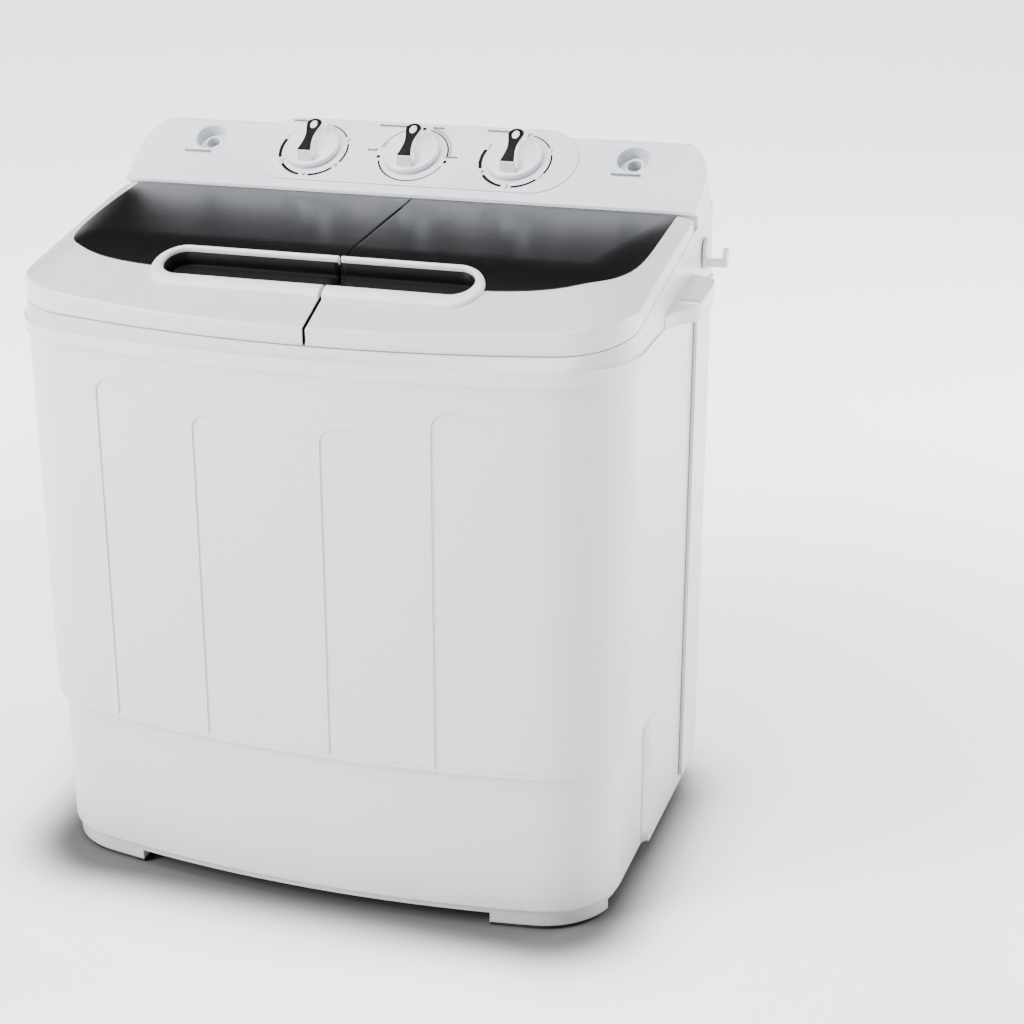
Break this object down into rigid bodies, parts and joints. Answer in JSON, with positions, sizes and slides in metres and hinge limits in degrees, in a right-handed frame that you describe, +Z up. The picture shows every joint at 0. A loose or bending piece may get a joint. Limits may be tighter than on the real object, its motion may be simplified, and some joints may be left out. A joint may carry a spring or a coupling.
{
  "type": "portable twin-tub washing machine",
  "caption": "Compact free-standing washer with a wash tub, a spin tub, two hinged lids, a sloped console with rotary controls and a bottom drain outlet.",
  "frame": {"origin": "on the floor under the middle of the machine's outer box", "axes": "+Z up, +X to the user's right when facing the front, +Y towards the back with the console"},
  "size_m": [0.582, 0.3499, 0.6257],
  "materials": {
    "body_plastic": "light grey-white injection-moulded plastic, satin gloss",
    "console_plastic": "cool white moulded plastic with a fine grain",
    "knob_plastic": "cool white polished plastic",
    "black_gloss": "black, mirror gloss",
    "black_moulding": "black moulded plastic",
    "grey_plastic": "grey moulded plastic",
    "tub_plastic": "white polypropylene, smooth",
    "agitator_plastic": "pale blue polypropylene",
    "rubber_feet": "black rubber",
    "rubber_seal": "black nitrile rubber",
    "steel": "ground steel",
    "zinc_screw": "zinc-plated steel",
    "zinc_plate": "zinc-plated sheet steel",
    "cast_alloy": "die-cast alloy",
    "motor_paint": "black varnished steel"
  },
  "bodies": {
    "cabinet": {"base_pan": "body_plastic", "front_cabinet": "body_plastic", "left_side_panel": "body_plastic", "right_side_panel": "body_plastic", "rear_cover": "body_plastic", "top_frame": "body_plastic", "foot_pads": "rubber_feet", "cabinet_screws": "zinc_screw", "cable_gland": "black_moulding", "lid_hinge_pins": "steel", "console_housing": "console_plastic", "dial_plate": "console_plastic", "inlet_cups": "console_plastic", "wash_timer": "grey_plastic", "selector_switch": "grey_plastic", "spin_timer": "grey_plastic", "hose_clip": "console_plastic", "wash_tub": "tub_plastic", "bearing_housing": "cast_alloy", "shaft_seal": "rubber_seal", "drive_belt": "rubber_seal", "wash_motor": "motor_paint", "motor_bracket": "zinc_plate", "overflow_column": "tub_plastic", "drain_spring": "steel", "drain_pipe": "grey_plastic", "drain_outlet": "grey_plastic", "lint_filter": "agitator_plastic", "spin_tub": "tub_plastic", "spin_bellows": "rubber_seal", "spin_motor": "motor_paint", "suspension_springs": "steel", "lid_switch": "black_moulding"},
    "wash_lid": {"wash_lid": "body_plastic", "wash_lid_window": "black_gloss", "wash_grip_rim": "console_plastic", "wash_grip_insert": "black_moulding"},
    "spin_lid": {"spin_lid": "body_plastic", "spin_lid_window": "black_gloss", "spin_grip_rim": "console_plastic", "spin_grip_insert": "black_moulding"},
    "wash_timer_dial": {"wash_timer_knob": "knob_plastic", "wash_timer_inlay": "black_gloss"},
    "selector_dial": {"selector_knob": "knob_plastic", "selector_inlay": "black_gloss"},
    "spin_timer_dial": {"spin_timer_knob": "knob_plastic", "spin_timer_inlay": "black_gloss"},
    "agitator_drive": {"agitator": "agitator_plastic", "agitator_screw": "zinc_screw", "agitator_shaft": "steel", "agitator_pulley": "grey_plastic"},
    "motor_drive": {"motor_pulley": "cast_alloy"},
    "spin_rotor": {"spin_shaft": "steel", "brake_drum": "cast_alloy", "spin_basket": "agitator_plastic", "basket_cover": "agitator_plastic"},
    "brake_arm": {"brake_lever": "zinc_plate", "brake_shoe": "rubber_seal"},
    "lid_switch_plunger": {"switch_plunger": "console_plastic"},
    "drain_valve_plug": {"drain_plug": "rubber_seal"}
  },
  "joints": [
    {"name": "wash_lid_hinge", "type": "hinge", "parent": "cabinet", "child": "wash_lid", "pos_m": [-0.12, 0.09, 0.5615], "axis": [-1, 0, 0], "range_deg": [0, 95]},
    {"name": "spin_lid_hinge", "type": "hinge", "parent": "cabinet", "child": "spin_lid", "pos_m": [0.14, 0.09, 0.5615], "axis": [-1, 0, 0], "range_deg": [0, 95]},
    {"name": "wash_timer_turn", "type": "hinge", "parent": "cabinet", "child": "wash_timer_dial", "pos_m": [-0.0962, 0.13644, 0.60432], "axis": [0, -0.5592, 0.829], "range_deg": [-300, 0]},
    {"name": "selector_turn", "type": "hinge", "parent": "cabinet", "child": "selector_dial", "pos_m": [0, 0.13644, 0.60432], "axis": [0, -0.5592, 0.829], "range_deg": [-90, 90]},
    {"name": "spin_timer_turn", "type": "hinge", "parent": "cabinet", "child": "spin_timer_dial", "pos_m": [0.0962, 0.13644, 0.60432], "axis": [0, -0.5592, 0.829], "range_deg": [-300, 0]},
    {"name": "agitator_spin", "type": "hinge", "parent": "cabinet", "child": "agitator_drive", "pos_m": [-0.124, -0.024, 0.11], "axis": [0, 0, 1], "continuous": true},
    {"name": "motor_pulley_spin", "type": "hinge", "parent": "cabinet", "child": "motor_drive", "pos_m": [-0.2, 0.095, 0.11], "axis": [0, 0, 1], "continuous": true},
    {"name": "basket_spin", "type": "hinge", "parent": "cabinet", "child": "spin_rotor", "pos_m": [0.134, -0.024, 0.16], "axis": [0, 0, 1], "continuous": true},
    {"name": "brake_swing", "type": "hinge", "parent": "cabinet", "child": "brake_arm", "pos_m": [0.188, 0.006, 0.174], "axis": [0, 0, -1], "range_deg": [0, 1.2]},
    {"name": "lid_switch_travel", "type": "slide", "parent": "cabinet", "child": "lid_switch_plunger", "axis": [0, 0, 1], "range_m": [0, 0.003]},
    {"name": "drain_plug_lift", "type": "slide", "parent": "cabinet", "child": "drain_valve_plug", "axis": [0, 0, 1], "range_m": [0, 0.01], "stiffness_N_per_m": 200, "springref_m": -0.01, "deforming": ["drain_spring"]}
  ],
  "couplings": [
    {"joint": "motor_pulley_spin", "follows": "agitator_spin", "ratio": 3.1579},
    {"joint": "brake_swing", "follows": "spin_lid_hinge", "ratio": 0.01263},
    {"joint": "lid_switch_travel", "follows": "spin_lid_hinge", "m_per_rad": 0.001809}
  ]
}
